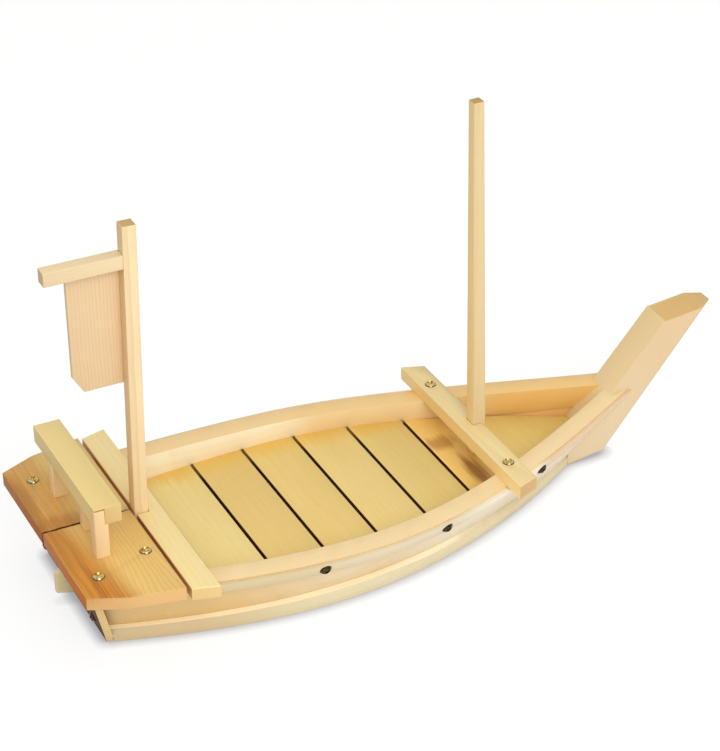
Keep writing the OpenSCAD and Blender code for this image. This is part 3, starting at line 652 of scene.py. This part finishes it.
heads_tree = screw_tree()
print("screw head tree:", len(heads_tree.nodes), "nodes")

# %% [markdown]
# ## Screw metal
# The heads are brass-plated steel: a warm metal with a patchy darker film. A dark ring round the rim is
# painted shade and a painted dark reflection, where the dome turns away. The heads on the planks and the
# transom are painted nearly black, a painted dark reflection of their shaded surroundings. A little noise in
# the roughness is enough at this size.

# %% Screw metal
# The dark tone is a painted dark reflection, for heads that sit in shaded places.
METAL_TONES = {"bright": (paint(232, 212, 154), paint(178, 156, 100)),
               "dark": (paint(92, 80, 50), paint(36, 28, 14))}
PAINTED_DARK_HEADS = ("side", "transom")
FILM_SCALE = 700.0
FILM_SHOWS = (0.35, 0.7)
RIM_SHOWS = (0.82, 1.0)
RIM_PAINTED_DARK = paint(58, 36, 10)
SMOOTHEST = 0.08
FILM_ROUGHENS = 0.15


def screw_metal(name, clean, filmed):
    material = bpy.data.materials.new("screw_metal_" + name)
    material.use_nodes = True
    tree = material.node_tree
    shader = tree.nodes["Principled BSDF"]
    place = Sock(tree).node("ShaderNodeTexCoord", out="Object")
    film = noise(place, FILM_SCALE)
    rim = place.node("ShaderNodeAttribute", {"attribute_name": "rim"}, out="Fac")
    colour = film.step(*FILM_SHOWS).mix(clean, filmed)
    # The dark ring round the rim is painted shade and a painted dark reflection.
    colour = rim.step(*RIM_SHOWS).mix(colour, RIM_PAINTED_DARK)
    rough = film * FILM_ROUGHENS + SMOOTHEST
    shader.inputs["Metallic"].default_value = 1.0
    tree.links.new(colour.socket, shader.inputs["Base Color"])
    tree.links.new(rough.socket, shader.inputs["Roughness"])
    return material


metals = {name: screw_metal(name, *tones) for name, tones in METAL_TONES.items()}
print("screw metals:", ", ".join(metals))

# %% Set the screw heads
SMOOTH_UNDER = math.radians(40)


def set_screws(node, places):
    """One mesh with all the heads of a group of screws, which stands for that group."""
    points = bpy.data.meshes.new("heads_" + node)
    points.from_pydata([tuple(place) for place, facing in places], [], [])
    attribute = points.attributes.new("facing", "FLOAT_VECTOR", "POINT")
    attribute.data.foreach_set("vector", [v for place, facing in places for v in facing])
    heads = bpy.data.objects.new("heads_" + node, points)
    bpy.context.scene.collection.objects.link(heads)
    setter = heads.modifiers.new("screw heads", "NODES")
    setter.node_group = heads_tree
    for item in heads_tree.interface.items_tree:
        if item.in_out == "INPUT" and item.name in HEAD:
            setter[item.identifier] = HEAD[item.name]
    mesh = plain_mesh(heads, "heads_" + node)
    mesh.materials.clear()
    # Heads on the planks and the transom get the dark tone: a painted dark reflection of their shaded
    # surroundings.
    mesh.materials.append(metals["dark" if node.startswith(PAINTED_DARK_HEADS) else "bright"])
    mesh.polygons.foreach_set("material_index", [0] * len(mesh.polygons))
    heads.modifiers.clear()
    heads.data = mesh
    mesh.set_sharp_from_angle(angle=SMOOTH_UNDER)
    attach(heads, body_of[node])
    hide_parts(node)
    return heads


for node, places in screws.items():
    heads = set_screws(node, places)
    print(heads.name, len(heads.data.polygons), "faces")

# %% [markdown]
# ## Floor and light
# The boat stands on a white table under a bright even sky, with one large soft lamp on the near side. The
# floor shows mostly plain white to the camera and keeps a share of real shading, so a soft shadow still says
# that the boat stands on it. An Ambient Occlusion node with a short reach paints a darker line of contact into
# that white, a painted shadow.
# Light that falls back from the table is what brightens the leaning sides. Behind the stern the table is grey
# to everything but the camera, which keeps the transom in shade as in the picture.

# %% Floor
FLOOR_HALF = 6.0
FLOOR_DROP = 0.0002
WHITE_SHARE = 0.75
WHITE_GLOW = 1.06
WHITE = (1.0, 1.0, 1.0, 1.0)
TABLE_WHITE = paint(246, 246, 246)
TABLE_GREY = paint(172, 166, 156)
GREY_FROM = (-0.46, -0.27)
CONTACT_REACH = 0.011
CONTACT_STRENGTH = 1.7
CONTACT_PAINTED_SHADOW = paint(166, 168, 174)


def white_floor():
    mesh = bpy.data.meshes.new("table")
    mesh.from_pydata([(x * FLOOR_HALF, y * FLOOR_HALF, -FLOOR_DROP) for x, y in
                      ((-1, -1), (1, -1), (1, 1), (-1, 1))], [], [(0, 1, 2, 3)])
    table = bpy.data.objects.new("table", mesh)
    bpy.context.scene.collection.objects.link(table)
    material = bpy.data.materials.new("table_white")
    material.use_nodes = True
    tree = material.node_tree
    tree.nodes.clear()
    seen = Sock(tree).node("ShaderNodeLightPath", out="Is Camera Ray")
    mirrored = Sock(tree).node("ShaderNodeLightPath", out="Is Glossy Ray")
    light = seen.node("ShaderNodeBsdfDiffuse", inputs={"Color": TABLE_WHITE})
    grey = seen.node("ShaderNodeBsdfDiffuse", inputs={"Color": TABLE_GREY})
    forward = seen.node("ShaderNodeTexCoord", out="Object").dot(X).step(*GREY_FROM)
    shaded = seen.node("ShaderNodeMixShader", inputs={0: forward.math("MAXIMUM", seen), 1: grey, 2: light})
    # Painted shadow: the floor's white turns grey close to the boat.
    open_share = seen.node("ShaderNodeAmbientOcclusion", inputs={"Distance": CONTACT_REACH}, out="AO")
    white_and_painted_shadow = ((1.0 - open_share) * CONTACT_STRENGTH).mix(WHITE, CONTACT_PAINTED_SHADOW)
    plain = seen.node("ShaderNodeEmission", inputs={"Color": white_and_painted_shadow, "Strength": WHITE_GLOW})
    share = (seen + mirrored).math("MINIMUM", 1.0) * WHITE_SHARE
    both = seen.node("ShaderNodeMixShader", inputs={0: share, 1: shaded, 2: plain})
    tree.links.new(both.socket, tree.nodes.new("ShaderNodeOutputMaterial").inputs["Surface"])
    mesh.materials.append(material)
    return table


print("floor:", white_floor().name)

# %% Light
SKY_STRENGTH = 0.79
SKY_WARM = (1.0, 0.99, 0.97, 1.0)
LAMPS = {"key": {"place": (-0.38, -2.17, 1.72), "size": 1.8, "power": 32.0}}
AIM = Vector((0.0, 0.0, 0.06))


def lamp(name, place, size, power):
    light = bpy.data.lights.new(name, "AREA")
    light.shape = "DISK"
    light.size = size
    light.energy = power
    thing = bpy.data.objects.new(name, light)
    thing.location = place
    thing.rotation_euler = (AIM - Vector(place)).to_track_quat("-Z", "Y").to_euler()
    bpy.context.scene.collection.objects.link(thing)
    return thing


def studio_sky():
    """An even warm sky, which the camera sees as plain white."""
    world = bpy.data.worlds.new("studio")
    world.use_nodes = True
    tree = world.node_tree
    tree.nodes.clear()
    seen = Sock(tree).node("ShaderNodeLightPath", out="Is Camera Ray")
    sky = seen.node("ShaderNodeBackground", inputs={"Color": SKY_WARM, "Strength": SKY_STRENGTH})
    white = seen.node("ShaderNodeBackground", inputs={"Color": WHITE, "Strength": 1.0})
    both = seen.node("ShaderNodeMixShader", inputs={0: seen, 1: sky, 2: white})
    tree.links.new(both.socket, tree.nodes.new("ShaderNodeOutputWorld").inputs["Surface"])
    return world


bpy.context.scene.world = studio_sky()
bpy.context.scene.view_settings.view_transform = "Standard"
print("lamps:", [lamp(name, **facts).name for name, facts in LAMPS.items()])
